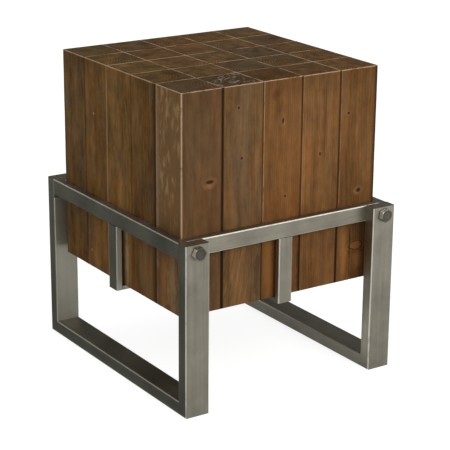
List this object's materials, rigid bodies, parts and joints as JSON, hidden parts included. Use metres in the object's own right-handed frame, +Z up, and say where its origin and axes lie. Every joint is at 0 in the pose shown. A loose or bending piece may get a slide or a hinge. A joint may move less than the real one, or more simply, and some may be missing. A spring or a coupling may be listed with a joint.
{
  "type": "accent table",
  "caption": "Rustic accent table: a cube of square end-grain timber posts hung in a bolted satin steel frame on two sled bases.",
  "frame": {"origin": "on the floor, under the middle of the timber block", "axes": "+Z up, +X across the front from left to right, -Y towards the front"},
  "size_m": [0.482, 0.554, 0.61],
  "materials": {
    "timber": "dark waxed, worn pale on the edges",
    "tongue_wood": "unfinished",
    "frame_steel": "satin",
    "fastener_steel": "satin"
  },
  "bodies": {
    "root": {"back_crossbar": "frame_steel", "back_foot_plate": "frame_steel", "back_hanger": "frame_steel", "back_left_leg": "frame_steel", "back_right_leg": "frame_steel", "corner_welds": "frame_steel", "crossbar_plugs": "frame_steel", "frame_bolts": "fastener_steel", "front_crossbar": "frame_steel", "front_foot_plate": "frame_steel", "front_hanger": "frame_steel", "front_left_leg": "frame_steel", "front_right_leg": "frame_steel", "lag_screws": "fastener_steel", "left_foot_plate": "frame_steel", "left_hanger": "frame_steel", "left_sled_rail": "frame_steel", "left_top_rail": "frame_steel", "leg_caps": "frame_steel", "post_row1_col1": "timber", "post_row1_col2": "timber", "post_row1_col3": "timber", "post_row1_col4": "timber", "post_row1_col5": "timber", "post_row2_col1": "timber", "post_row2_col2": "timber", "post_row2_col3": "timber", "post_row2_col4": "timber", "post_row2_col5": "timber", "post_row3_col1": "timber", "post_row3_col2": "timber", "post_row3_col3": "timber", "post_row3_col4": "timber", "post_row3_col5": "timber", "post_row4_col1": "timber", "post_row4_col2": "timber", "post_row4_col3": "timber", "post_row4_col4": "timber", "post_row4_col5": "timber", "post_row5_col1": "timber", "post_row5_col2": "timber", "post_row5_col3": "timber", "post_row5_col4": "timber", "post_row5_col5": "timber", "right_foot_plate": "frame_steel", "right_hanger": "frame_steel", "right_sled_rail": "frame_steel", "right_top_rail": "frame_steel", "tongues_across": "tongue_wood", "tongues_front_to_back": "tongue_wood"}
  },
  "joints": []
}
